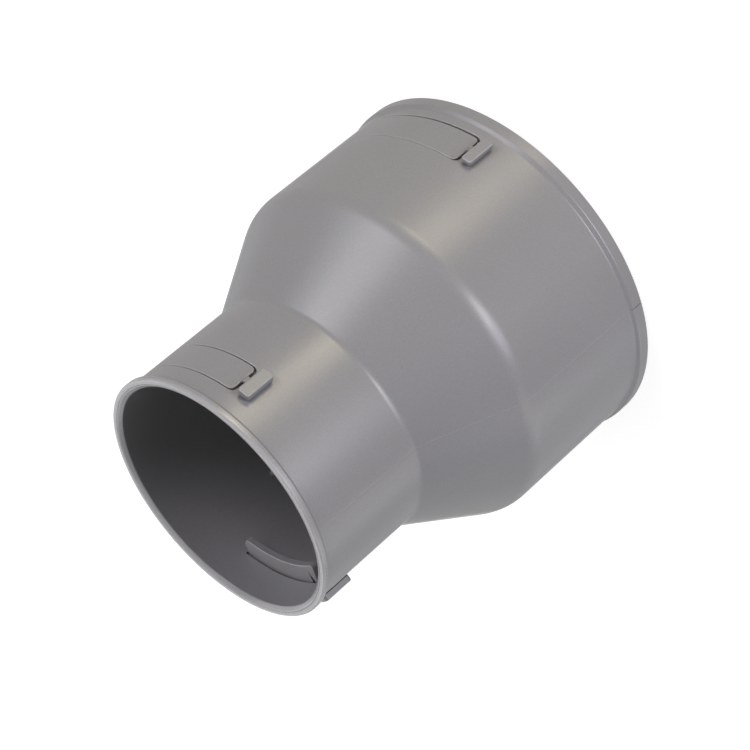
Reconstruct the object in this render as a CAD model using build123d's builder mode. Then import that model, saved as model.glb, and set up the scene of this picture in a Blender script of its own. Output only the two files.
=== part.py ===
# A duct reducer moulded in one piece: a big socket, a cone and a small socket.
# Each socket has two spring latches, whose catch plates reach into the bore.
# Millimetres, +Z up, big end at z = 0, +X through the parting seam.
import os
from math import acos, atan2, cos, degrees, pi, radians, sin, sqrt

from build123d import *

os.makedirs("parts", exist_ok=True)

# Ducts that push into the two ends, and the room around them
small_duct_diameter = 110.0
big_duct_diameter = 160.0
small_duct_clearance = 0.5
big_duct_clearance = 0.8

# Lengths along the axis
small_length = 60.65
cone_length = 43.9
big_length = 73.9

# Wall, and how much each bore narrows towards the cone
wall = 2.9
small_draft = 0.35
big_draft = 0.2
shoulder_round = 15.8
throat_round = 6.4
inner_shoulder_flat = 3.4
inner_throat_flat = 2.5

# Straight entry to each bore, before the draft begins
small_land_end = 16.2
big_land_end = 16.6
small_lead_depth = 1.25
small_lead_step = 1.7
big_lead_depth = 1.25
big_lead_step = 1.7

# Bead round the small mouth
bead_proud = 1.65
bead_width = 3.65
bead_front_round = 0.9

# Flange round the big end
flange_proud = 1.4
flange_width = 5.45
flange_slope = 1.8

# Stop ribs in the small socket
stop_count = 4
stop_first_angle = 45.0
stop_inset = 53.3
stop_height = 3.5
stop_width = 2.2

# What all four latches share
end_slit = 1.15
panel_thickness = 1.6
panel_gap = 0.3
panel_corner = 2.4
relief_radius = 0.75
hinge_groove_width = 0.7
hinge_groove_depth = 0.3
catch_height = 8.2
catch_thickness = 3.2
catch_overhang = 1.85
catch_root_round = 3.0
catch_free_round = 1.5
catch_free_draft = 0.7
slot_room = 0.75
slot_end_room = 1.3
neck_thickness = 1.3
neck_clearance = 0.45
tab_clearance = 1.2
tab_corner = 1.4
tab_flat = 0.6

# Small end latches: angles are measured from the seam, insets from the mouth
small_side_slit = 0.62
small_panel_inset = 20.05
small_panel_width = 14.6
small_panel_free_angle = 68.2
small_panel_root_angle = 110.8
small_catch_inset = 18.2
small_tab_angle = 61.85
small_tab_reach = 5.9
small_tab_length = 15.4
small_tab_thickness = 2.65

# Big end latches
big_side_slit = 0.55
big_panel_inset = 20.62
big_panel_width = 16.3
big_panel_free_angle = 69.3
big_panel_root_angle = 109.5
big_catch_inset = 18.8
big_tab_angle = 65.6
big_tab_reach = 5.2
big_tab_length = 15.6
big_tab_thickness = 2.3

# Sizes that follow from the ones above
height = small_length + cone_length + big_length
small_bore = small_duct_diameter / 2 + small_duct_clearance
big_bore = big_duct_diameter / 2 + big_duct_clearance
small_outer = small_bore + wall
big_outer = big_bore + wall
small_deep = small_bore - small_draft
big_deep = big_bore - big_draft
cone_top = big_length + cone_length
cone_fall = (big_outer - small_outer) / cone_length
cone_wall = wall / cos(atan2(big_outer - small_outer, cone_length))
inner_big_z = big_length + (big_outer - cone_wall - big_deep) / cone_fall
inner_small_z = big_length + (big_outer - cone_wall - small_deep) / cone_fall


def half_plane(angle):
    """The half plane through the axis at this angle, with local x outwards and local y up."""
    a = radians(angle)
    return Plane((0, 0, 0), x_dir=(cos(a), sin(a), 0), z_dir=(sin(a), -cos(a), 0))


def polar(radius, angle):
    return (radius * cos(radians(angle)), radius * sin(radians(angle)))


def corner(sketch, x, y):
    return sketch.vertices().sort_by_distance((x, y, 0))[0]


# Wall section, from the big end up the outside and back down the inside
with BuildPart() as shell:
    with BuildSketch(Plane.XZ) as section:
        flange_outer = big_outer + flange_proud
        bead_outer = small_outer + bead_proud
        bead_bevel = bead_front_round * (1 - cos(pi / 4))
        with BuildLine():
            Polyline(
                (big_bore + big_lead_step, 0),
                (flange_outer, 0),
                (flange_outer, flange_width),
                (big_outer, flange_width + flange_slope),
                (big_outer, big_length),
                (small_outer, cone_top),
                (small_outer, height - bead_width),
                (bead_outer, height - bead_width),
                (bead_outer, height - bead_front_round),
                (bead_outer - bead_bevel, height - bead_front_round + bead_front_round * sin(pi / 4)),
                (bead_outer - bead_front_round, height),
                (small_bore + small_lead_step, height),
                (small_bore, height - small_lead_depth),
                (small_bore, height - small_land_end),
                (small_deep, inner_small_z),
                (big_deep, inner_big_z),
                (big_bore, big_land_end),
                (big_bore, big_lead_depth),
                close=True,
            )
        make_face()
        fillet(corner(section, big_outer, big_length), shoulder_round)
        fillet(corner(section, small_outer, cone_top), throat_round)
        chamfer(corner(section, small_deep, inner_small_z), inner_throat_flat)
        chamfer(corner(section, big_deep, inner_big_z), inner_shoulder_flat)
    revolve(axis=Axis.Z)


def latch_tools(outer, bore, mouth_z, inward, inset, width, side_slit, free_angle, root_angle,
                catch_inset, tab_angle, tab_reach, tab_length, tab_thickness):
    """One latch on the +Y side: what it cuts from the wall, and what it adds."""
    free_x = outer * cos(radians(free_angle))
    root_x = outer * cos(radians(root_angle))
    middle_z = mouth_z + inward * inset
    under = outer - panel_thickness
    floor = under - panel_gap
    reach = outer + 2
    tall = width + 4 * end_slit
    outline_x = (root_x + free_x + end_slit) / 2
    outline_long = free_x + end_slit - root_x
    crest = bore - catch_height
    front_z = mouth_z + inward * catch_inset

    # Free-end and side slits, as deep as the pocket
    with BuildPart() as cut:
        with BuildSketch(Plane.XZ) as around:
            with Locations((outline_x, middle_z)):
                Rectangle(outline_long, width + 2 * side_slit)
            fillet(around.vertices().group_by(Axis.X)[-1], panel_corner + side_slit)
            with BuildSketch(mode=Mode.SUBTRACT) as panel:
                with Locations((outline_x - end_slit, middle_z)):
                    Rectangle(outline_long, width)
                fillet(panel.vertices().group_by(Axis.X)[-1], panel_corner)
            with Locations(
                (root_x, middle_z + (width + side_slit) / 2),
                (root_x, middle_z - (width + side_slit) / 2),
            ):
                RegularPolygon(relief_radius, 6)
        extrude(amount=-reach)
        with BuildSketch(Plane.XY.offset(middle_z - tall / 2)):
            Circle(reach)
            Circle(floor, mode=Mode.SUBTRACT)
        extrude(amount=tall, mode=Mode.INTERSECT)

    # Gap under the panel, so that it is free of the pocket's floor
    with BuildPart() as gap:
        with BuildSketch(Plane.XZ) as under_panel:
            with Locations((outline_x, middle_z)):
                Rectangle(outline_long, width + 2 * side_slit)
            fillet(under_panel.vertices().group_by(Axis.X)[-1], panel_corner + side_slit)
        extrude(amount=-reach)
        with BuildSketch(Plane.XY.offset(middle_z - tall / 2)):
            Circle(under)
            Circle(floor, mode=Mode.SUBTRACT)
        extrude(amount=tall, mode=Mode.INTERSECT)

    # Slot through the pocket's floor for the catch plate
    catch_root_x = root_x - catch_overhang
    slot_low = front_z - inward * slot_room
    slot_high = front_z + inward * (catch_thickness + slot_room)
    slot_root_x = catch_root_x - slot_end_room
    slot_free_x = free_x + end_slit
    with BuildPart() as slot:
        with BuildSketch(Plane.XZ):
            with Locations(((slot_root_x + slot_free_x) / 2, (slot_low + slot_high) / 2)):
                Rectangle(slot_free_x - slot_root_x, abs(slot_high - slot_low))
        extrude(amount=-reach)
        with BuildSketch(Plane.XY.offset(middle_z - tall / 2)):
            Circle(under)
            Circle(crest, mode=Mode.SUBTRACT)
        extrude(amount=tall, mode=Mode.INTERSECT)

    # Shallow line across the hinge
    with BuildPart() as groove:
        with BuildSketch(Plane.XZ):
            with Locations((root_x, middle_z)):
                Rectangle(hinge_groove_width, width + side_slit)
        extrude(amount=-reach)
        with BuildSketch(Plane.XY.offset(middle_z - tall / 2)):
            Circle(reach)
            Circle(outer - hinge_groove_depth, mode=Mode.SUBTRACT)
        extrude(amount=tall, mode=Mode.INTERSECT)

    # Catch plate: a curved plate under the panel, with rounded inner corners
    catch_base = under + panel_thickness / 4
    free_side = catch_base * sin(radians(free_angle))
    root_top = sqrt(floor**2 - catch_root_x**2) - panel_gap
    crest_free_x = free_x - catch_free_draft
    with BuildPart() as catch:
        with BuildSketch(Plane.XY.offset(front_z + min(0, inward * catch_thickness))) as plate:
            with BuildLine():
                Polyline(
                    (root_x, reach),
                    (root_x, root_top),
                    (catch_root_x, root_top),
                    (catch_root_x, 0),
                    (free_x - catch_free_draft * free_side / catch_height, 0),
                    (free_x, free_side),
                    (free_x - end_slit / 2, reach),
                    close=True,
                )
            make_face()
            Circle(catch_base, mode=Mode.INTERSECT)
            Circle(crest, mode=Mode.SUBTRACT)
            crest_root = corner(plate, catch_root_x, sqrt(crest**2 - catch_root_x**2))
            fillet(crest_root, catch_root_round)
            crest_free = corner(plate, crest_free_x, sqrt(crest**2 - crest_free_x**2))
            fillet(crest_free, catch_free_round)
        extrude(amount=catch_thickness)

    # Neck: leaves the panel's end, crosses the slit and runs on under the tab
    edge_angle = degrees(acos((free_x + end_slit) / outer))
    tab_far = tab_angle - degrees(tab_reach / 2 / outer)
    low = outer + neck_clearance
    high = outer + tab_clearance + neck_thickness / 2
    with BuildPart() as neck:
        with BuildSketch(Plane.XY.offset(front_z + min(0, inward * catch_thickness))):
            with BuildLine():
                Polyline(
                    polar(under + panel_thickness / 4, free_angle + 1),
                    polar(under + panel_thickness / 4, free_angle - 0.25),
                    polar(low, (free_angle + edge_angle) / 2),
                    polar(low, edge_angle - 1),
                    polar(low, tab_far + 0.5),
                    polar(high, tab_far + 0.5),
                    polar(high, edge_angle),
                    polar(outer - panel_thickness / 8, free_angle + 0.2),
                    polar(outer - panel_thickness / 8, free_angle + 1),
                    close=True,
                )
            make_face()
        extrude(amount=catch_thickness)

    # Lift tab, standing off the wall
    tab_plane = Plane(
        (*polar(outer + tab_clearance, tab_angle), middle_z),
        x_dir=(-sin(radians(tab_angle)), cos(radians(tab_angle)), 0),
        z_dir=(cos(radians(tab_angle)), sin(radians(tab_angle)), 0),
    )
    with BuildPart() as tab:
        with BuildSketch(tab_plane):
            RectangleRounded(tab_reach, tab_length, tab_corner)
        extrude(amount=tab_thickness)
        top = tab.faces().sort_by(Axis((0, 0, 0), tab_plane.z_dir))[-1]
        chamfer(top.edges(), tab_flat)

    return [cut, gap, slot, groove], [catch, neck, tab]


small_cuts, small_adds = latch_tools(
    small_outer,
    small_bore,
    height,
    -1,
    small_panel_inset,
    small_panel_width,
    small_side_slit,
    small_panel_free_angle,
    small_panel_root_angle,
    small_catch_inset,
    small_tab_angle,
    small_tab_reach,
    small_tab_length,
    small_tab_thickness,
)
big_cuts, big_adds = latch_tools(
    big_outer,
    big_bore,
    0,
    1,
    big_panel_inset,
    big_panel_width,
    big_side_slit,
    big_panel_free_angle,
    big_panel_root_angle,
    big_catch_inset,
    big_tab_angle,
    big_tab_reach,
    big_tab_length,
    big_tab_thickness,
)

# The whole moulding
with BuildPart() as reducer_body:
    add(shell.part)
    for tool in small_cuts + big_cuts:
        add(tool.part, mode=Mode.SUBTRACT)
        mirror(tool.part, about=Plane.XZ, mode=Mode.SUBTRACT)
    for tool in small_adds + big_adds:
        add(tool.part)
        mirror(tool.part, about=Plane.XZ)
    with Locations((0, 0, height - stop_inset)):
        with PolarLocations(small_bore - stop_height, stop_count, start_angle=stop_first_angle):
            Box(
                stop_height + wall / 2,
                stop_width,
                small_length - stop_inset,
                align=(Align.MIN, Align.CENTER, Align.MAX),
            )

reducer_body.part.label = "reducer_body"
export_step(reducer_body.part, "parts/reducer_body.step")
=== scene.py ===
# Looks for the duct reducer: one grey plastic moulding on a white shooting table.
# The moulding is redrawn finer than the solid, with rounded edges, and stands for it.
from math import atan2, cos, radians, sin, tan

import bpy
import numpy as np
from mathutils import Matrix, Vector
from mathutils.geometry import delaunay_2d_cdt, tessellate_polygon


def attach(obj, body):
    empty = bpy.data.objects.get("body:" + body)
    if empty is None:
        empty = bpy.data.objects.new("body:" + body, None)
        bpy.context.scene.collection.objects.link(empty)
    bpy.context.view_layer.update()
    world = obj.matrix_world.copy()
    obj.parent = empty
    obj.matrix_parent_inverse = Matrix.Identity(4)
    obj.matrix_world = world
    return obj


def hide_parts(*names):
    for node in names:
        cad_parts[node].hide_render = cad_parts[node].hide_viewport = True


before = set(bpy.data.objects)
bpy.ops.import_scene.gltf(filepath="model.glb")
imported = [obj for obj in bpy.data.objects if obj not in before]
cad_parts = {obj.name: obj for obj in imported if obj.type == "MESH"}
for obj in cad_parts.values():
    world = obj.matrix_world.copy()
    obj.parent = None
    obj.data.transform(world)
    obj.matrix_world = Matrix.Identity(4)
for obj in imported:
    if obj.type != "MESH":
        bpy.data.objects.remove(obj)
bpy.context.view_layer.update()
scene = bpy.context.scene
scene.view_settings.view_transform = "Standard"

MM = 0.001

# Sizes in millimetres: main sizes as in the part's source, with edges of the scene's own
height = 178.45
small_bore, small_outer, small_deep = 55.5, 58.4, 55.15
big_bore, big_outer, big_deep = 80.8, 83.7, 80.6
big_length, cone_top = 73.9, 117.8
bead_outer, bead_width = 60.05, 3.65
flange_outer, flange_width, flange_slope = 85.1, 5.45, 1.8
inner_small_z, inner_big_z = 117.63, 73.47
small_land, big_land = height - 16.2, 16.6
lead_step, lead_depth = 1.7, 1.25
panel_thickness, panel_gap, panel_corner = 1.6, 0.3, 2.4
end_slit, slit_lip = 1.15, 0.42
catch_height, catch_thickness, catch_overhang, catch_free_draft = 8.2, 3.2, 1.85, 0.7
catch_root_round, catch_free_round, catch_edge = 3.0, 1.5, 0.3
slot_room, slot_end_room, slot_lip = 0.75, 0.55, 0.22
neck_clearance, neck_rise, neck_edge = 0.45, 0.75, 0.2
tab_corner, tab_low_edge, tab_high_edge = 1.3, 0.4, 0.6
stop_inset, stop_crest, stop_length, stop_half_width = 53.3, 52.0, 7.35, 1.1

# Latches. A slit is given by its width at the free end, its width at the hinge and the radius of its round end,
# each for the side towards the big end and the side towards the small end.
small_latch = dict(
    outer=small_outer, bore=small_bore, mouth=height, inward=-1, inset=20.05, width=14.6,
    slits=(0.55, 0.45), ends=(0.1, 0.1), eyes=(0.45, 0.45), free=68.2, root=110.8, catch=18.2,
    tab=61.85, reach=5.9, length=15.4, thick=3.05, gap=1.05,
)
big_latch = dict(
    outer=big_outer, bore=big_bore, mouth=0.0, inward=1, inset=20.62, width=16.3,
    slits=(1.0, 0.18), ends=(0.16, 0.06), eyes=(0.4, 0.25), free=69.3, root=109.5, catch=18.8,
    tab=65.6, reach=5.2, length=15.6, thick=2.4, gap=1.2,
)

# Windows in the turned wall, in degrees, which the latches fill
window_starts, window_span = (57.0, 237.0), 66.0

# Painted light: how much lighter (painted highlight) or darker (painted shade) than the plastic round them some
# lines and edges are drawn
# Painted highlight along the parting line's ridge, painted shade in the nick across the flange
ridge_painted_highlight, nick_painted_shade = 0.10, -0.5
# Painted shade behind the bead, painted highlight on the mouth's edges
bead_foot_painted_shade, mouth_edge_painted_highlight = -0.75, 0.4
# Painted highlights on the slits' lips and on the catch plate's rims
slit_lip_painted_highlight, catch_rim_painted_highlight = 0.5, 0.5
# Painted shade under the tabs and on the lower tabs' sides, painted highlight on the tabs' high rims
tab_under_painted_shade, tab_rim_painted_highlight, lower_tab_side_painted_shade = -0.7, 0.35, -0.35

# The whole moulding is gathered here: points, their normals, faces, and runs of points with a painted highlight
# or painted shade of their own
points, normals, faces, painted_light_runs = [], [], [], []


def add_points(new, new_normals):
    first = sum(len(p) for p in points)
    points.append(np.asarray(new, float))
    normals.append(np.asarray(new_normals, float))
    return first


def outline(corners, step=12.0):
    """A closed counter-clockwise outline with an arc at each corner (x, y, radius), its outward normals,
    and where each corner's points begin."""
    at, out, begins = [], [], []
    count = len(corners)
    for i in range(count):
        p = np.array(corners[i][:2], float)
        ahead = np.array(corners[(i + 1) % count][:2], float) - p
        come = p - np.array(corners[i - 1][:2], float)
        ahead, come = ahead / np.linalg.norm(ahead), come / np.linalg.norm(come)
        turn = atan2(come[0] * ahead[1] - come[1] * ahead[0], float(come @ ahead))
        start = atan2(-come[0], come[1])
        radius = corners[i][2]
        begins.append(len(at))
        if radius == 0:
            a = start + turn / 2
            at.append(p)
            out.append((cos(a), sin(a)))
            continue
        pieces = max(2, int(np.ceil(abs(np.degrees(turn)) / step)), int(np.ceil(abs(turn) * radius / 1.5)))
        back = p - come * radius * abs(tan(turn / 2))
        away = 1 if turn > 0 else -1
        centre = back - away * radius * np.array((cos(start), sin(start)))
        for k in range(pieces + 1):
            a = start + turn * k / pieces
            at.append(centre + away * radius * np.array((cos(a), sin(a))))
            out.append((cos(a), sin(a)))
    return np.array(at), np.array(out), begins


def ccw(loop):
    x, y = loop[:, 0], loop[:, 1]
    return float(np.sum(x * np.roll(y, -1) - y * np.roll(x, -1))) > 0


def inside(loop, xy):
    x, y = loop[:, 0], loop[:, 1]
    x2, y2 = np.roll(x, -1), np.roll(y, -1)
    px, py = xy[:, 0:1], xy[:, 1:2]
    with np.errstate(divide="ignore", invalid="ignore"):
        crossing = ((y > py) != (y2 > py)) & (px < (x2 - x) * (py - y) / (y2 - y) + x)
    return crossing.sum(axis=1) % 2 == 1


def fill(loop):
    """Triangles over a counter-clockwise loop."""
    result = []
    for a, b, c in tessellate_polygon([[Vector((p[0], p[1], 0)) for p in loop]]):
        p, q = loop[b] - loop[a], loop[c] - loop[a]
        area = p[0] * q[1] - p[1] * q[0]
        result.append((a, b, c) if area > 0 else (a, c, b))
    return result


def short_triangles(flat, kept):
    """Triangles over flat points, with some edges kept."""
    _, _, tris, origin, _, _ = delaunay_2d_cdt([Vector(p) for p in flat], kept, [], 0, 1e-5)
    return [tuple(origin[k][0] for k in tri) for tri in tris]


# Turned wall, with every edge rounded as a mould rounds it
def on_small_bore(z):
    return small_bore + (small_deep - small_bore) * (small_land - z) / (small_land - inner_small_z)


def on_big_bore(z):
    return big_bore + (big_deep - big_bore) * (z - big_land) / (inner_big_z - big_land)


wall_corners = {
    "big_rim": (big_bore + lead_step, 0, 0.35),
    "flange_edge": (flange_outer, 0, 0.7),
    "flange_crest": (flange_outer, flange_width, 1.4),
    "flange_foot": (big_outer, flange_width + flange_slope, 1.6),
    "big_window": (big_outer, 8.9, 0),
    "big_window_end": (big_outer, 34.0, 0),
    "shoulder": (big_outer, big_length, 15.8),
    "throat": (small_outer, cone_top, 6.4),
    "small_window": (small_outer, 146.5, 0),
    "small_window_end": (small_outer, 171.0, 0),
    "bead_foot": (small_outer, height - bead_width, 0.5),
    "bead_back": (bead_outer, height - bead_width, 1.1),
    "bead_front": (bead_outer, height, 0.7),
    "groove": (small_bore + lead_step + 0.62, height, 0.12),
    "groove_floor": (small_bore + lead_step + 0.47, height - 0.22, 0.1),
    "groove_end": (small_bore + lead_step + 0.32, height, 0.12),
    "mouth_edge": (small_bore + lead_step, height, 0.25),
    "small_lead": (small_bore, height - lead_depth, 0.8),
    "small_slot": (on_small_bore(161.9), 161.9, 0),
    "small_slot_end": (on_small_bore(150.0), 150.0, 0),
    "inner_throat": (small_deep, inner_small_z, 9.0),
    "inner_shoulder": (big_deep, inner_big_z, 13.0),
    "big_slot": (on_big_bore(29.0), 29.0, 0),
    "big_slot_end": (on_big_bore(17.0), 17.0, 0),
    "big_lead": (big_bore, lead_depth, 0.8),
}
section, section_normal, begins = outline(list(wall_corners.values()))
row_of = dict(zip(wall_corners, begins))
rows = len(section)
seam_steps = np.array((-0.32, -0.2, -0.1, 0.0, 0.1, 0.2, 0.32))
around = np.arange(0, 360, 1.5)
around = np.sort(np.concatenate((around[(around % 180) > 0.1], seam_steps % 360, seam_steps + 180)))
columns = len(around)
column_of = {round(float(a), 3): j for j, a in enumerate(around)}

# Parting line: a fine ridge up the wall, and a nick across the flange
seam_half = 0.2
ridge = np.zeros(rows)
ridge[row_of["flange_foot"] : row_of["shoulder"]] = 0.10
ridge[row_of["shoulder"] : row_of["bead_foot"]] = 0.07
# The nick starts part of the way round the flange's lower edge
ridge[row_of["flange_edge"] + 3 : row_of["flange_foot"]] = -0.5
off = (around + 90) % 180 - 90
near = np.abs(off) < seam_half
across = np.where(near, np.cos(np.pi * off / (2 * seam_half)) ** 2, 0)
slope = np.where(near, -np.sin(np.pi * off / seam_half) * np.pi / (2 * seam_half), 0) * 180 / np.pi
theta = np.radians(around)
lift = ridge[:, None] * across[None, :]
r = section[:, 0:1] + lift * section_normal[:, 0:1]
z = section[:, 1:2] + lift * section_normal[:, 1:2]
turned = np.stack((r * np.cos(theta), r * np.sin(theta), z + 0 * theta), axis=2)
lean = -ridge[:, None] * slope[None, :] / section[:, 0:1]
turned_normal = np.stack(
    (
        section_normal[:, 0:1] * np.cos(theta) - lean * np.sin(theta),
        section_normal[:, 0:1] * np.sin(theta) + lean * np.cos(theta),
        section_normal[:, 1:2] + 0 * theta,
    ),
    axis=2,
)
add_points(turned.reshape(-1, 3), turned_normal.reshape(-1, 3))
# Painted highlight along the parting line's ridge, and painted shade in the flange's nick
seam_painted_light = np.where(ridge > 0, ridge_painted_highlight, np.where(ridge < 0, nick_painted_shade, 0.0))
wall_painted_light = seam_painted_light[:, None] * (np.abs(off) < 0.15)[None, :]
# Painted shade on the bead's rounded back edge, darkest at its foot, and a painted highlight on the mouth's
# edges
back_rows = row_of["bead_front"] - row_of["bead_back"]
wall_painted_light[row_of["bead_back"] : row_of["bead_front"]] = np.linspace(bead_foot_painted_shade, 0, back_rows)[:, None]
wall_painted_light[row_of["bead_front"] : row_of["groove"]] = mouth_edge_painted_highlight
wall_painted_light[row_of["mouth_edge"] : row_of["small_lead"]] = mouth_edge_painted_highlight

# Turned faces, apart from the windows
windows = {}
for name in ("big_window", "small_window", "small_slot", "big_slot"):
    for first in window_starts:
        windows[row_of[name], first] = range(column_of[first], column_of[first + window_span])
for i in range(rows):
    skip = {j for (row, first), span in windows.items() if row == i for j in span}
    for j in range(columns):
        if j not in skip:
            a, b = i * columns, (i + 1) % rows * columns
            k = (j + 1) % columns
            faces.append((a + j, a + k, b + k, b + j))


def window(row, first, radius_at, facing, holes):
    """Closes one window: the plain wall round some holes, and the holes' rounded lips, sides and floors.
    A hole is (loop, profile), where loop(grow) gives its outline in degrees and millimetres."""
    mean = radius_at((section[row, 1] + section[row + 1, 1]) / 2)
    unroll = np.array((np.radians(mean), 1.0))
    low, high = sorted((section[row, 1], section[row + 1, 1]))
    up = section[row + 1, 1] > section[row, 1]
    span = list(windows[row, first]) + [windows[row, first][-1] + 1]
    edge_low = [(row if up else row + 1) * columns + j for j in span]
    edge_high = [(row + 1 if up else row) * columns + j for j in span]

    def place(loop, depth):
        loop = np.asarray(loop, float)
        a = np.radians(loop[:, 0])
        rad = np.array([radius_at(v) for v in loop[:, 1]]) - facing * depth
        return np.stack((rad * np.cos(a), rad * np.sin(a), loop[:, 1]), axis=1)

    def straight_out(loop):
        a = np.radians(np.asarray(loop, float)[:, 0])
        return facing * np.stack((np.cos(a), np.sin(a), 0 * a), axis=1)

    flat = [(around[j], low) for j in span] + [(around[j], high) for j in span]
    index = edge_low + edge_high
    count = len(span)
    fixed = [(k, k + 1) for k in range(count - 1)] + [(count + k, count + k + 1) for k in range(count - 1)]
    fixed += [(0, count), (count - 1, 2 * count - 1)]
    barred = []
    for loop, profile in holes:
        grow, depth, tilt = profile[0]
        outer = loop(grow)
        barred.append(outer)
        n = len(outer)
        begin = add_points(place(outer, depth), straight_out(outer))
        fixed += [(len(flat) + k, len(flat) + (k + 1) % n) for k in range(n)]
        flat += [tuple(p) for p in outer]
        index += list(range(begin, begin + n))
        last = begin
        for grow, depth, tilt in profile[1:]:
            at = loop(grow)
            here = place(at, 0)
            into = place(loop(grow - 0.02), 0) - here
            into /= np.linalg.norm(into, axis=1)[:, None]
            t = np.radians(tilt)
            start = add_points(place(at, depth), np.cos(t) * straight_out(at) + np.sin(t) * into)
            # A painted highlight on the slit's rounded lip
            painted_light_runs.append((start, n, slit_lip_painted_highlight if facing > 0 and 20 < tilt < 70 else 0.0))
            for k in range(n):
                m = (k + 1) % n
                quad = (last + k, last + m, start + m, start + k)
                faces.append(quad if facing > 0 else quad[::-1])
            last = start
        start = add_points(place(at, depth), straight_out(at))
        ring = at * unroll
        rim = [(k, (k + 1) % n) for k in range(n)]
        for tri in short_triangles(ring, rim):
            if inside(ring, ring[list(tri)].mean(axis=0)[None])[0]:
                tri = tuple(start + k for k in tri)
                faces.append(tri if facing > 0 else tri[::-1])
    # Loose points keep the triangles short on the curved wall
    spread = np.array([(around[j], v) for j in span[1:-1] for v in np.arange(low + 2.2, high - 1.0, 2.2)])
    for outer in barred:
        ring = outer * unroll
        far = np.min(np.linalg.norm(spread[:, None] * unroll - ring[None], axis=2), axis=1) > 0.8
        spread = spread[far & ~inside(ring, spread * unroll)]
    index += list(range(add_points(place(spread, 0), straight_out(spread)), sum(len(p) for p in points)))
    flat = np.array(flat + [tuple(p) for p in spread]) * unroll
    for tri in short_triangles(flat, fixed):
        middle = flat[list(tri)].mean(axis=0)[None]
        if not any(inside(outer * unroll, middle)[0] for outer in barred):
            tri = tuple(index[k] for k in tri)
            faces.append(tri if facing > 0 else tri[::-1])


def arc(cx, cy, radius, start, end, pieces):
    """Points along an arc, with angles in degrees."""
    a = np.radians(np.linspace(start, end, pieces + 1))
    return [(cx + radius * cos(t), cy + radius * sin(t)) for t in a]


def wrapped(flat, radius, middle, side):
    """Points drawn on the latch's plane, carried straight onto the wall; side is -1 for the lower latch."""
    flat = np.asarray(flat, float)
    angle = np.degrees(np.arccos(flat[:, 0] / radius))
    loop = np.stack((angle if side > 0 else 360 - angle, middle + flat[:, 1]), axis=1)
    return loop if ccw(loop) else loop[::-1]


def slit_loop(latch, side):
    """The slit round three sides of the panel, with a round relief at each end."""
    outer = latch["outer"]
    root, free = outer * cos(radians(latch["root"])), outer * cos(radians(latch["free"]))
    half = latch["width"] / 2
    middle = latch["mouth"] + latch["inward"] * latch["inset"]

    def loop(grow):
        a, near, far = half - grow, free - grow, free + end_slit + grow
        (low, high), ri = (half + gap + grow for gap in latch["slits"]), panel_corner - grow
        round_low, round_high = (panel_corner + gap + grow for gap in latch["slits"])
        wide = [gap - end for gap, end in zip(latch["slits"], latch["ends"])]
        eyes = []
        for eye, gap in zip(latch["eyes"], latch["ends"]):
            eye, opening = eye + grow, gap / 2 + grow
            reach, turn = np.sqrt(eye**2 - opening**2), np.degrees(np.arcsin(opening / eye))
            eyes.append((eye, half + gap / 2, reach, turn))
        (eye, eye_y, reach, turn), (eye_2, eye_y2, reach_2, turn_2) = eyes
        # The long runs keep the same points for every grow, so that the rings line up
        flat = arc(root, -eye_y, eye, turn, 360 - turn, 14)
        flat += [
            (root + reach + (far - round_low - root - reach) * k / 24, -low + wide[0] * (1 - k / 24))
            for k in range(1, 24)
        ]
        flat += arc(far - round_low, -low + round_low, round_low, -90, 0, 10)
        flat += [(far, -low + round_low + (low + high - round_low - round_high) * k / 6) for k in range(1, 6)]
        flat += arc(far - round_high, high - round_high, round_high, 0, 90, 10)
        flat += [
            (far - round_high + (root + reach_2 - far + round_high) * k / 24, high - wide[1] * k / 24)
            for k in range(1, 24)
        ]
        flat += arc(root, eye_y2, eye_2, turn_2, 360 - turn_2, 14)
        flat += [(root + reach_2 + (near - ri - root - reach_2) * k / 24, a) for k in range(1, 24)]
        flat += arc(near - ri, a - ri, ri, 90, 0, 10)
        flat += [(near, a - ri - (2 * a - 2 * ri) * k / 6) for k in range(1, 6)]
        flat += arc(near - ri, -a + ri, ri, 0, -90, 10)
        flat += [(near - ri + (root + reach - near + ri) * k / 24, -a) for k in range(1, 24)]
        return wrapped(flat, outer, middle, side)

    return loop


def rounded_box_loop(x0, x1, y0, y1, corner, radius, middle, side):
    """A box with round corners on the wall."""

    def loop(grow):
        rad = corner + grow
        low, high, left, right = y0 - grow + rad, y1 + grow - rad, x0 - grow + rad, x1 + grow - rad
        long = [k / 32 for k in range(1, 32)]
        flat = arc(right, low, rad, -90, 0, 4)
        flat += [(right + rad, low + (high - low) * k / 6) for k in range(1, 6)]
        flat += arc(right, high, rad, 0, 90, 4)
        flat += [(right + (left - right) * k, high + rad) for k in long]
        flat += arc(left, high, rad, 90, 180, 4)
        flat += [(left - rad, high + (low - high) * k / 6) for k in range(1, 6)]
        flat += arc(left, low, rad, 180, 270, 4)
        flat += [(left + (right - left) * k, low - rad) for k in long]
        return wrapped(flat, radius, middle, side)

    return loop


def lip(radius, depth):
    """A quarter-round lip, then a straight side down to the depth."""
    tilts = (0, 22.5, 45, 67.5, 90)
    steps = [(radius * (1 - sin(radians(t))), radius * (1 - cos(radians(t))), t) for t in tilts]
    return steps + [(0, depth, 90)]


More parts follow.
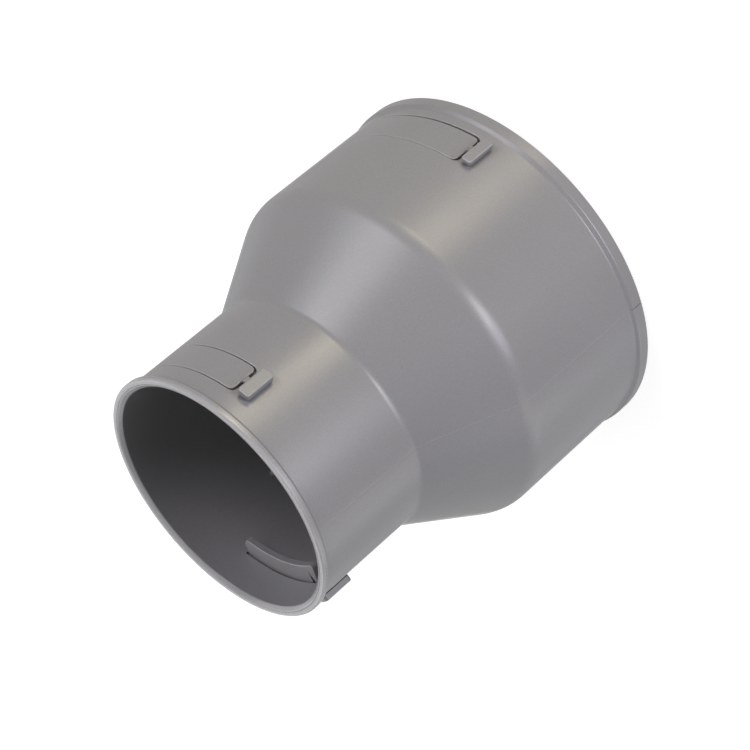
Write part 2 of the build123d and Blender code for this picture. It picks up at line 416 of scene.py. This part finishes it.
def slab(
    corners, origin, axes, thickness, low_edge, high_edge, side, under_painted_shade=0.0, side_painted_shade=0.0, rim_painted_highlight=0.0
):
    """A plate drawn as an outline and given a thickness, with both rims rounded. Side -1 mirrors it in Y.
    Its underside and sides may have painted shade, and its high rim a painted highlight."""
    flat, out, _ = outline(corners)
    n = len(flat)
    ex, ey, ez = (np.array(v, float) for v in axes)
    swap = np.array((1, side, 1))
    rings = [(low_edge, t, 0, -1) for t in (0, 30, 60, 90)]
    rings += [(high_edge, t, thickness, 1) for t in (90, 60, 30, 0)]
    starts = []
    for edge, t, level, way in rings:
        s, c = sin(radians(t)), cos(radians(t))
        xy = flat - out * edge * (1 - s)
        up = level - way * edge * (1 - c)
        at = np.array(origin) + xy[:, 0:1] * ex + xy[:, 1:2] * ey + up * ez
        facing = s * (out[:, 0:1] * ex + out[:, 1:2] * ey) + way * c * ez
        starts.append(add_points(at * swap, facing * swap))
        # Painted shade on the underside and flat sides, a painted highlight on the high rim's rounding
        rounded = rim_painted_highlight if t else 0.0
        painted_light_runs.append((starts[-1], n, side_painted_shade if t == 90 else under_painted_shade if way < 0 else rounded))

    def put(face):
        faces.append(face if side > 0 else face[::-1])

    for a, b in zip(starts, starts[1:]):
        for k in range(n):
            m = (k + 1) % n
            put((a + k, a + m, b + m, b + k))
    for tri in fill(flat - out * low_edge):
        put(tuple(starts[0] + k for k in tri[::-1]))
    for tri in fill(flat - out * high_edge):
        put(tuple(starts[-1] + k for k in tri))


def polar(radius, angle, rounding=0.0):
    """An outline corner given by its distance from the axis and its angle in degrees."""
    return (radius * cos(radians(angle)), radius * sin(radians(angle)), rounding)


def bent(radius, start, end, pieces):
    """Points along a circle round the axis, as plain outline corners."""
    return [polar(radius, angle) for angle in np.linspace(start, end, pieces + 1)]


def latch(size, wall_row, bore_row, bore_at, side):
    """One latch: the slit round its panel, its slot in the bore, its catch plate, neck and lift tab."""
    outer, bore, inward = size["outer"], size["bore"], size["inward"]
    root_x, free_x = outer * cos(radians(size["root"])), outer * cos(radians(size["free"]))
    middle = size["mouth"] + inward * size["inset"]
    front = size["mouth"] + inward * size["catch"]
    under = outer - panel_thickness
    floor = under - panel_gap
    crest = bore - catch_height
    first = window_starts[0 if side > 0 else 1]

    # Outside: the slit round the panel, and a faint line across its hinge
    half = size["width"] / 2
    hinge = rounded_box_loop(root_x - 0.3, root_x + 0.3, -half + 1.3, half - 1.3, 0.25, outer, middle, side)
    sink = [(0.3, 0, 0), (0.12, 0.02, 12), (-0.1, 0.045, 5)]
    holes = [(slit_loop(size, side), lip(slit_lip, panel_thickness + panel_gap)), (hinge, sink)]
    window(wall_row, first, lambda z: outer, 1, holes)

    # Inside: the slot that the catch plate comes through
    plate_root = root_x - catch_overhang
    back = front + inward * catch_thickness
    bottom = min(front, back)
    low, high = bottom - slot_room, max(front, back) + slot_room
    mid = (low + high) / 2
    inside_r = bore_at(mid)
    slot = rounded_box_loop(
        plate_root - slot_end_room, free_x + end_slit, low - mid, high - mid, 0.4, inside_r, mid, side
    )
    window(bore_row, first, bore_at, -1, [(slot, lip(slot_lip, under - inside_r))])

    # Catch plate, with a painted highlight on its high rim
    y_root = np.sqrt(crest**2 - plate_root**2)
    free_in = free_x - catch_free_draft
    y_free = np.sqrt(crest**2 - free_in**2)
    a_root, a_free = np.degrees(atan2(y_root, plate_root)), np.degrees(atan2(y_free, free_in))
    step_root, step_free = np.degrees(6.0 / crest), np.degrees(3.2 / crest)
    notch = [np.sqrt((bore - d) ** 2 - plate_root**2) for d in (1.5, 2.3)]
    shelf = np.sqrt(floor**2 - plate_root**2) - 0.35
    base = under + 0.5
    plate = [(plate_root, y_root, catch_root_round)]
    plate += bent(crest, a_root - step_root, a_free + step_free, 12)
    plate += [(free_in, y_free, catch_free_round), polar(base, size["free"] + 0.3, 0.3)]
    plate += [polar(base, size["free"] + 1.0, 0.1), polar(bore - 6.2, size["free"] + 2.6, 0.15)]
    plate += bent(base, size["free"] + 3.4, size["root"] - 3, 14)
    plate += [
        (root_x + 0.2, np.sqrt(base**2 - root_x**2), 0.2),
        (root_x + 0.2, shelf, 0.2),
        (plate_root, shelf, 0.2),
        (plate_root, notch[0], 0.25),
        (plate_root + 0.65, notch[0] - 0.1, 0.15),
        (plate_root + 0.65, notch[1] + 0.1, 0.15),
        (plate_root, notch[1], 0.25),
    ]
    axes = ((1, 0, 0), (0, 1, 0), (0, 0, 1))
    slab(plate, (0, 0, bottom), axes, catch_thickness, catch_edge, catch_edge, side, rim_painted_highlight=catch_rim_painted_highlight)

    # Neck from the panel's end to the tab
    edge = np.degrees(np.arccos((free_x + end_slit) / outer))
    tab_far = size["tab"] - np.degrees(size["reach"] / 2 / outer)
    neck_low, neck_high = outer + neck_clearance, outer + size["gap"] + neck_rise
    neck = [
        polar(under + 0.4, size["free"] + 1, 0.1),
        polar(under + 0.4, size["free"] - 0.25, 0.25),
        polar(neck_low, (size["free"] + edge) / 2, 0.3),
        polar(neck_low, edge - 1),
        polar(neck_low, tab_far + 0.5, 0.2),
        polar(neck_high, tab_far + 0.5, 0.2),
        polar(neck_high, edge, 0.6),
        polar(outer - 0.1, size["free"] + 0.4, 0.3),
        polar(outer - 0.1, size["free"] + 1, 0.05),
    ]
    neck = neck if ccw(np.array(neck)[:, :2]) else neck[::-1]
    slab(neck, (0, 0, bottom), axes, catch_thickness, neck_edge, neck_edge, side)

    # Lift tab, with painted shade underneath and a painted highlight on its high rim; the lower latch's tab
    # also has painted shade on its sides
    a = radians(size["tab"])
    across_tab, along_tab = size["reach"] / 2, size["length"] / 2
    tab = [
        (-across_tab, -along_tab, tab_corner),
        (across_tab, -along_tab, tab_corner),
        (across_tab, along_tab, tab_corner),
        (-across_tab, along_tab, tab_corner),
    ]
    axes = ((-sin(a), cos(a), 0), (0, 0, 1), (cos(a), sin(a), 0))
    sole = outer + size["gap"]
    # Painted shade on the lower tab's sides only
    side_painted_shade = 0.0 if side > 0 else lower_tab_side_painted_shade
    slab(
        tab, (sole * cos(a), sole * sin(a), middle), axes, size["thick"], tab_low_edge, tab_high_edge, side,
        tab_under_painted_shade, side_painted_shade, tab_rim_painted_highlight,
    )


for side in (1, -1):
    latch(small_latch, row_of["small_window"], row_of["small_slot"], on_small_bore, side)
    latch(big_latch, row_of["big_window"], row_of["big_slot"], on_big_bore, side)

# Stop ribs in the small socket
for angle in (45, 135, 225, 315):
    a = radians(angle)
    axes = ((-sin(a), cos(a), 0), (cos(a), sin(a), 0), (0, 0, -1))
    tip, foot = stop_half_width, stop_half_width + 0.15
    rib = [(-tip, 0, 0.45), (-foot, 5.0, 0.1), (foot, 5.0, 0.1), (tip, 0, 0.45)]
    rib = rib if ccw(np.array(rib)[:, :2]) else rib[::-1]
    origin = (stop_crest * cos(a), stop_crest * sin(a), height - stop_inset)
    slab(rib, origin, axes, stop_length, 0.4, 0.3, 1)

mesh = bpy.data.meshes.new("reducer_moulding")
mesh.from_pydata([tuple(p) for p in np.concatenate(points) * MM], [], faces, shade_flat=False)
mesh.normals_split_custom_set_from_vertices([tuple(v) for v in np.concatenate(normals)])
# Painted highlight and painted shade per point, which the plastic's shader reads
point_painted_light = np.zeros(len(mesh.vertices), np.float32)
point_painted_light[: wall_painted_light.size] = wall_painted_light.reshape(-1)
for start, count, painted_tone in painted_light_runs:
    point_painted_light[start : start + count] = painted_tone
mesh.attributes.new("painted_light_and_shade", "FLOAT", "POINT").data.foreach_set("value", point_painted_light)
moulding = bpy.data.objects.new("reducer_moulding", mesh)
scene.collection.objects.link(moulding)
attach(moulding, "root")
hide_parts("reducer_body")

# Grey plastic: a fine moulded grain, slightly uneven in shade and gloss, with a few tiny specks, and painted
# highlights and painted shade from the moulding's points
plastic = bpy.data.materials.new("grey_plastic")
plastic.use_nodes = True
tree = plastic.node_tree
shader = tree.nodes["Principled BSDF"]


def node(kind, **settings):
    made = tree.nodes.new("ShaderNode" + kind)
    for name, value in settings.items():
        setattr(made, name, value)
    return made


def link(source, target):
    tree.links.new(source, target)


where = node("TexCoord").outputs["Object"]


def noise(scale, detail, rough=0.5):
    made = node("TexNoise")
    made.inputs["Scale"].default_value = scale
    made.inputs["Detail"].default_value = detail
    made.inputs["Roughness"].default_value = rough
    link(where, made.inputs["Vector"])
    return made.outputs["Fac"]


def spread(value, low, high, start=0.3, end=0.7):
    made = node("MapRange")
    made.inputs["From Min"].default_value = start
    made.inputs["From Max"].default_value = end
    made.inputs["To Min"].default_value = low
    made.inputs["To Max"].default_value = high
    link(value, made.inputs["Value"])
    return made.outputs["Result"]


def sums(kind, *terms):
    made = node("Math", operation=kind)
    for socket, term in zip(made.inputs, terms):
        if isinstance(term, float):
            socket.default_value = term
        else:
            link(term, socket)
    return made.outputs["Value"]


def backdrop():
    """1 for the rays that show the white background: from the camera, in reflections and through glass."""
    path = node("LightPath").outputs
    mirrored = sums("MAXIMUM", path["Is Glossy Ray"], path["Is Transmission Ray"])
    return sums("MAXIMUM", path["Is Camera Ray"], mirrored)


cloud = spread(noise(14.0, 3.0), 0.975, 1.025)
grain = spread(noise(1500.0, 2.0, 0.7), 0.93, 1.07)
specks = node("TexVoronoi")
specks.inputs["Scale"].default_value = 55.0
specks.inputs["Randomness"].default_value = 1.0
link(where, specks.inputs["Vector"])
chance = node("SeparateColor")
link(specks.outputs["Color"], chance.inputs["Color"])
few = sums("LESS_THAN", chance.outputs["Red"], 0.12)
dot = sums("MULTIPLY", spread(specks.outputs["Distance"], 0.35, 0.0, 0.006, 0.016), few)
shade = sums("MULTIPLY", cloud, grain)
shade = sums("MULTIPLY", shade, sums("SUBTRACT", 1.0, dot))
# Painted highlight and painted shade lighten or darken the grey
painted_tone = node("Attribute", attribute_name="painted_light_and_shade").outputs["Fac"]
shade = sums("MULTIPLY", shade, sums("ADD", 1.0, painted_tone))
tint = node("VectorMath", operation="SCALE")
tint.inputs[0].default_value = (0.245, 0.240, 0.250)
link(shade, tint.inputs["Scale"])
link(tint.outputs["Vector"], shader.inputs["Base Color"])
gloss = sums("ADD", spread(noise(900.0, 2.0), -0.025, 0.025), spread(noise(22.0, 2.0), 0.295, 0.345))
# Where a highlight is painted on, the plastic is glossier too
gloss = sums("SUBTRACT", gloss, sums("MULTIPLY", sums("MAXIMUM", painted_tone, 0.0), 0.3))
link(gloss, shader.inputs["Roughness"])
# The grain shadows itself at low angles, so the sheen fades there
low_angle = node("LayerWeight").outputs["Facing"]
link(spread(low_angle, 0.5, 0.04, 0.45, 0.85), shader.inputs["Specular IOR Level"])
bump = node("Bump")
bump.inputs["Strength"].default_value = 0.12
bump.inputs["Distance"].default_value = 0.00004
link(noise(3200.0, 3.0, 0.6), bump.inputs["Height"])
link(bump.outputs["Normal"], shader.inputs["Normal"])
mesh.materials.append(plastic)

# Floor: a white shooting table, which lets the lamps below it shine through
table_mesh = bpy.data.meshes.new("floor")
table_mesh.from_pydata([(-4, -4, 0), (4, -4, 0), (4, 4, 0), (-4, 4, 0)], [], [(0, 1, 2, 3)])
floor = bpy.data.objects.new("floor", table_mesh)
scene.collection.objects.link(floor)
floor.visible_diffuse = False
floor.visible_glossy = False
floor.visible_transmission = False
floor.visible_shadow = False
white = bpy.data.materials.new("floor_white")
white.use_nodes = True
tree = white.node_tree
tree.nodes.remove(tree.nodes["Principled BSDF"])
matt = node("BsdfDiffuse")
matt.inputs["Color"].default_value = (0.4, 0.4, 0.4, 1)
glow = node("Emission")
# Near the part the table glows less, so that the shadow shows; far away it is plain white
away = node("VectorMath", operation="LENGTH")
link(node("NewGeometry").outputs["Position"], away.inputs[0])
lit = spread(away.outputs["Value"], 0.82, 1.0, 0.4, 1.0)
link(sums("MULTIPLY", backdrop(), lit), glow.inputs["Strength"])
both = node("AddShader")
link(matt.outputs["BSDF"], both.inputs[0])
link(glow.outputs["Emission"], both.inputs[1])
link(both.outputs["Shader"], tree.nodes["Material Output"].inputs["Surface"])
table_mesh.materials.append(white)

# Under the part the table is backed, so that no light comes up through it
disc_radius, disc_height = 0.0822, 0.00015
turns = [radians(angle) for angle in range(0, 360, 3)]
rim = [(disc_radius * cos(a), disc_radius * sin(a), disc_height) for a in turns]
under_mesh = bpy.data.meshes.new("floor_under")
under_mesh.from_pydata(rim, [], [tuple(range(len(rim)))])
under = bpy.data.objects.new("floor_under", under_mesh)
scene.collection.objects.link(under)
backed = bpy.data.materials.new("floor_backed")
backed.use_nodes = True
shader = backed.node_tree.nodes["Principled BSDF"]
shader.inputs["Base Color"].default_value = (0.4, 0.4, 0.4, 1)
shader.inputs["Roughness"].default_value = 1.0
under_mesh.materials.append(backed)

# Studio: round softboxes aimed at the part, given by azimuth, elevation, width and strength in red, green, blue
softboxes = (
    ("front", 11, -8, 0.8, (7.79, 7.80, 9.01)),
    ("front_small", 25, -6, 0.5, (5.44, 5.46, 5.22)),
    ("warm_low", 70, -27, 0.5, (3.63, 3.23, 2.35)),
    ("warm_spot", 80, -21, 0.35, (2.17, 2.00, 1.32)),
    ("key", 93, 28, 0.8, (7.87, 7.60, 7.96)),
    ("key_side", 112, 20, 0.6, (1.44, 1.59, 1.72)),
    ("right", 322, 1, 0.7, (1.77, 1.72, 1.59)),
    ("low_right", 308, -20, 0.7, (1.40, 1.38, 1.31)),
    ("over", 40, 88, 1.6, (9.00, 9.00, 9.00)),
    ("back_left", 190, 25, 0.9, (1.50, 1.50, 1.50)),
    ("back_right", 265, 22, 0.9, (2.20, 2.20, 2.20)),
    ("back_low", 225, -10, 0.9, (1.20, 1.20, 1.20)),
    ("back", 218, 30, 0.8, (2.60, 2.60, 2.60)),
    ("left_high", 160, 35, 0.7, (2.50, 2.50, 2.50)),
)
aim, lamp_distance = Vector((0, 0, 0.09)), 1.5
for name, azimuth, elevation, width, strength in softboxes:
    lamp = bpy.data.lights.new(name, "AREA")
    lamp.shape = "DISK"
    lamp.size = width
    lamp.energy = max(strength)
    lamp.color = [v / max(strength) for v in strength]
    box = bpy.data.objects.new(name, lamp)
    scene.collection.objects.link(box)
    a, e = radians(azimuth), radians(elevation)
    way = Vector((cos(a) * cos(e), sin(a) * cos(e), sin(e)))
    box.location = aim + way * lamp_distance
    box.rotation_euler = way.to_track_quat("Z", "Y").to_euler()
    box.visible_camera = False

sky = bpy.data.worlds.new("studio")
sky.use_nodes = True
tree = sky.node_tree
back = tree.nodes["Background"]
back.inputs["Color"].default_value = (1, 1, 1, 1)
link(spread(backdrop(), 0.05, 1.0, 0.0, 1.0), back.inputs["Strength"])
scene.world = sky

# Camera at the photograph's viewing angle
lens = bpy.data.cameras.new("camera")
lens.sensor_width = 36.0
lens.lens = 127.195
camera = bpy.data.objects.new("camera", lens)
scene.collection.objects.link(camera)
camera.matrix_world = Matrix(
    (
        (0.69113, -0.22066, 0.68822, 0.78228),
        (-0.28171, 0.79468, 0.5377, 0.60729),
        (-0.66557, -0.5655, 0.48707, 0.63579),
        (0.0, 0.0, 0.0, 1.0),
    )
)
scene.camera = camera
